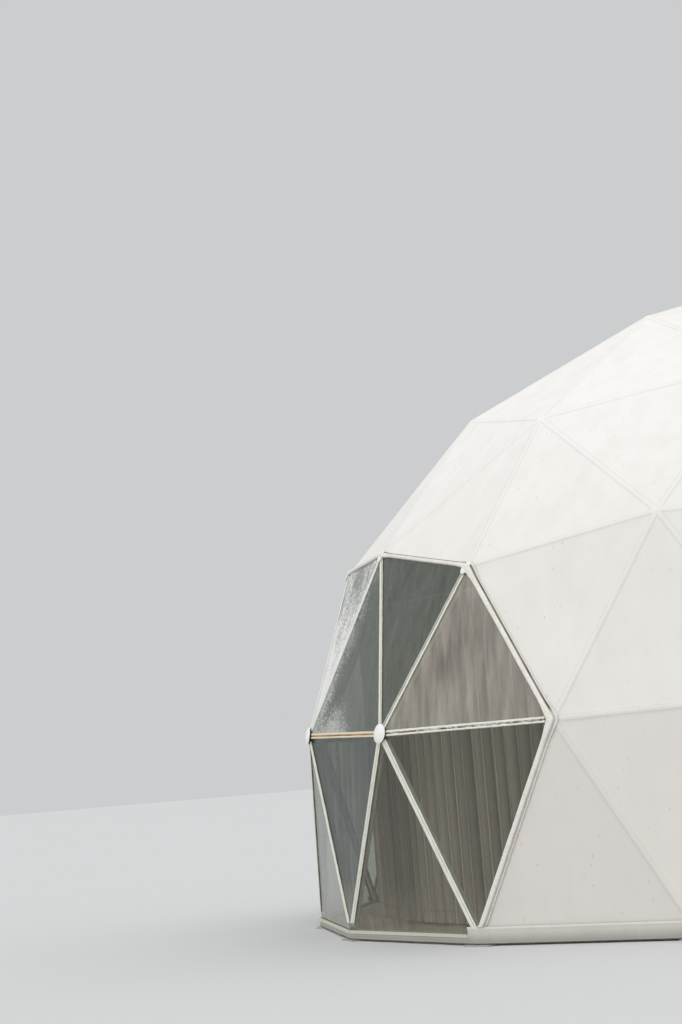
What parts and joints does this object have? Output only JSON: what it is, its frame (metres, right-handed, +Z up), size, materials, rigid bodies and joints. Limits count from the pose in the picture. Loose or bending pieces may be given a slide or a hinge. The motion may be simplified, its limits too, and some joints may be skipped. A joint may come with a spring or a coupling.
{
  "type": "geodesic dome",
  "caption": "Geodesic dome shelter on a tube frame with a white membrane cover, a glazed bay of triangular panes with round hub caps, curtains behind the glass and a built floor",
  "frame": {"origin": "on the ground at the centre of the base ring", "axes": "+Z is up, the middle of the glazed bay faces -Y, +X is to the right of somebody who looks at the bay from outside"},
  "size_m": [8.7972, 8.8135, 5.4744],
  "materials": {
    "frame_tube": "white powder coat, satin",
    "hub": "white powder coat, satin",
    "foot_plate": "galvanised",
    "membrane": "coated polyester membrane, matte, a little dirty",
    "glass": "clear glass with a green-grey tint, frost in places",
    "glazing_bar": "white paint over old sealant, rust line in places",
    "trim": "white sleeve, dirt along the cover side",
    "cap": "white moulded",
    "sill": "weathered aluminium",
    "floor_board": "brown boards",
    "rail": "white paint",
    "curtain": "grey-brown woven cloth, pleated"
  },
  "bodies": {
    "root": {"base_ring_tubes": "frame_tube", "lower_course_tubes": "frame_tube", "waist_ring_tubes": "frame_tube", "middle_course_tubes": "frame_tube", "shoulder_ring_tubes": "frame_tube", "upper_course_tubes": "frame_tube", "upper_ring_tubes": "frame_tube", "crown_course_tubes": "frame_tube", "apex_tubes": "frame_tube", "apex_hubs": "hub", "crown_hubs": "hub", "upper_hubs": "hub", "shoulder_hubs": "hub", "waist_hubs": "hub", "base_hubs": "hub", "foot_plates": "foot_plate", "lower_cover": "membrane", "middle_cover": "membrane", "upper_cover": "membrane", "crown_cover": "membrane", "apex_cover": "membrane", "cover_hem": "membrane", "upper_pane_1": "glass", "upper_pane_2": "glass", "upper_pane_3": "glass", "upper_pane_4": "glass", "upper_pane_5": "glass", "upper_pane_6": "glass", "upper_pane_7": "glass", "lower_pane_1": "glass", "lower_pane_2": "glass", "lower_pane_3": "glass", "lower_pane_4": "glass", "lower_pane_5": "glass", "lower_pane_6": "glass", "lower_pane_7": "glass", "glazing_bars": "glazing_bar", "bay_trims": "trim", "hub_caps": "cap", "corner_clips": "cap", "bay_sill": "sill", "floor": "floor_board", "curtain_rail": "rail", "curtain_right": "curtain", "curtain_left": "curtain"}
  },
  "joints": []
}
